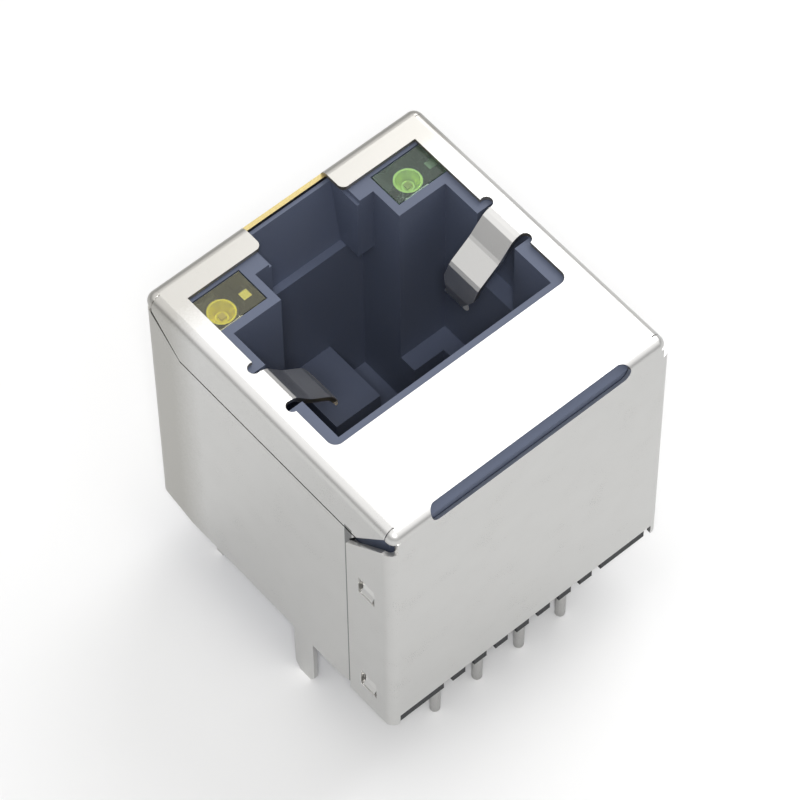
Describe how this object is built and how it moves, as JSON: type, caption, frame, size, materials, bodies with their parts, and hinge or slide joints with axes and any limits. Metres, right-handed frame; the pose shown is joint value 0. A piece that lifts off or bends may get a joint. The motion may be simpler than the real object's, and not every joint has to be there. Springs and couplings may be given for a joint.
{
  "type": "vertical rj45 board jack",
  "caption": "Upright shielded modular jack for a circuit board, with a top-entry plug opening, two indicator lamps and built-in line transformers.",
  "frame": {"origin": "middle of the seating pad on the circuit board's top face", "axes": "+Z is the way the plug comes out, -Y is the closed front panel, +X is to the right seen from that panel"},
  "size_m": [0.016, 0.0166, 0.0197],
  "materials": {
    "shield_nickel": "satin nickel plate on brass sheet",
    "housing_plastic": "dark moulded thermoplastic",
    "insert_plastic": "black moulded thermoplastic",
    "contact_gold": "gold plated wire",
    "tinned_wire": "tinned",
    "board_laminate": "green solder mask",
    "ferrite": "coated ferrite",
    "magnet_wire": "enamelled copper",
    "chip_ceramic": "fired ceramic",
    "yellow_epoxy": "clear tinted epoxy",
    "green_epoxy": "clear tinted epoxy",
    "lamp_chip": "semiconductor chip"
  },
  "bodies": {
    "root": {"shield": "shield_nickel", "housing": "housing_plastic", "contact_insert": "insert_plastic", "module_board": "board_laminate", "transformer_cores": "ferrite", "transformer_windings": "magnet_wire", "choke_cores": "ferrite", "choke_windings": "magnet_wire", "line_resistors": "chip_ceramic", "surge_capacitor": "chip_ceramic", "pin_base": "insert_plastic", "yellow_lens": "yellow_epoxy", "yellow_cup_lead": "tinned_wire", "yellow_post_lead": "tinned_wire", "yellow_chip": "lamp_chip", "green_lens": "green_epoxy", "green_cup_lead": "tinned_wire", "green_post_lead": "tinned_wire", "green_chip": "lamp_chip", "contact_1": "contact_gold", "pin_1": "tinned_wire", "contact_2": "contact_gold", "pin_2": "tinned_wire", "contact_3": "contact_gold", "pin_3": "tinned_wire", "contact_4": "contact_gold", "pin_4": "tinned_wire", "contact_5": "contact_gold", "pin_5": "tinned_wire", "contact_6": "contact_gold", "pin_6": "tinned_wire", "contact_7": "contact_gold", "pin_7": "tinned_wire", "contact_8": "contact_gold", "pin_8": "tinned_wire"}
  },
  "joints": []
}
